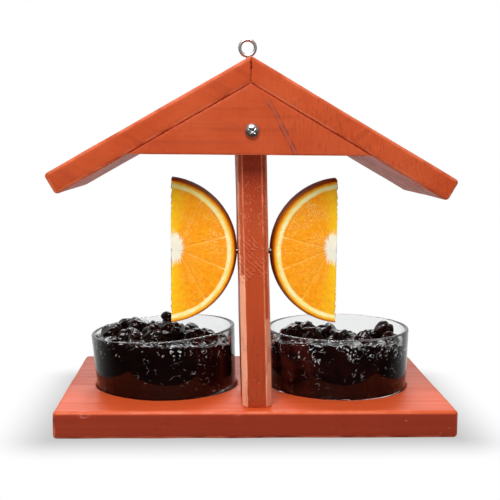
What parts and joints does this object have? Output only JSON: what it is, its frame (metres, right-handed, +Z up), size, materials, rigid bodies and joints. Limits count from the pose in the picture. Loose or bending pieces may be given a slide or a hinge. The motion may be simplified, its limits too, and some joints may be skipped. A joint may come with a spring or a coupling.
{
  "type": "oriole feeder",
  "caption": "Small roofed wooden feeder with clear dishes of jelly set in its base, orange slices pushed onto a spike through its post, and a screw eye on the ridge to hang it by.",
  "frame": {"origin": "middle of the base board's underside", "axes": "+Z up, +X to the feeder's right as it faces the viewer, -Y towards the front where the post stands"},
  "size_m": [0.2301, 0.1474, 0.2268],
  "materials": {
    "painted_wood": "orange-red paint on sawn softwood, satin, lighter along the worn edges",
    "zinc_hardware": "bright zinc plate",
    "steel_rod": "plain steel rod",
    "dish_glass": "clear smooth glass",
    "grape_jelly": "wet, glossy, nearly black with red-brown depths",
    "orange_fruit": "moist cut flesh, pale pith and orange rind"
  },
  "bodies": {
    "feeder": {"base_board": "painted_wood", "post": "painted_wood", "gable_board": "painted_wood", "ridge_rail": "painted_wood", "roof_board_left_front": "painted_wood", "roof_board_left_rear": "painted_wood", "roof_board_right_front": "painted_wood", "roof_board_right_rear": "painted_wood", "roof_brads_left": "zinc_hardware", "roof_brads_right": "zinc_hardware", "gable_screw": "zinc_hardware", "post_screw_front": "zinc_hardware", "post_screw_rear": "zinc_hardware", "hanging_eye": "zinc_hardware", "fruit_spike": "steel_rod", "glass_dish_left": "dish_glass", "glass_dish_right": "dish_glass", "jelly_left": "grape_jelly", "jelly_right": "grape_jelly"},
    "left_slice": {"orange_slice_left": "orange_fruit"},
    "right_slice": {"orange_slice_right": "orange_fruit"}
  },
  "joints": [
    {"name": "left_slice_slide", "type": "slide", "parent": "feeder", "child": "left_slice", "axis": [-1, 0, 0], "range_m": [0, 0.028]},
    {"name": "right_slice_slide", "type": "slide", "parent": "feeder", "child": "right_slice", "axis": [1, 0, 0], "range_m": [0, 0.028]}
  ]
}
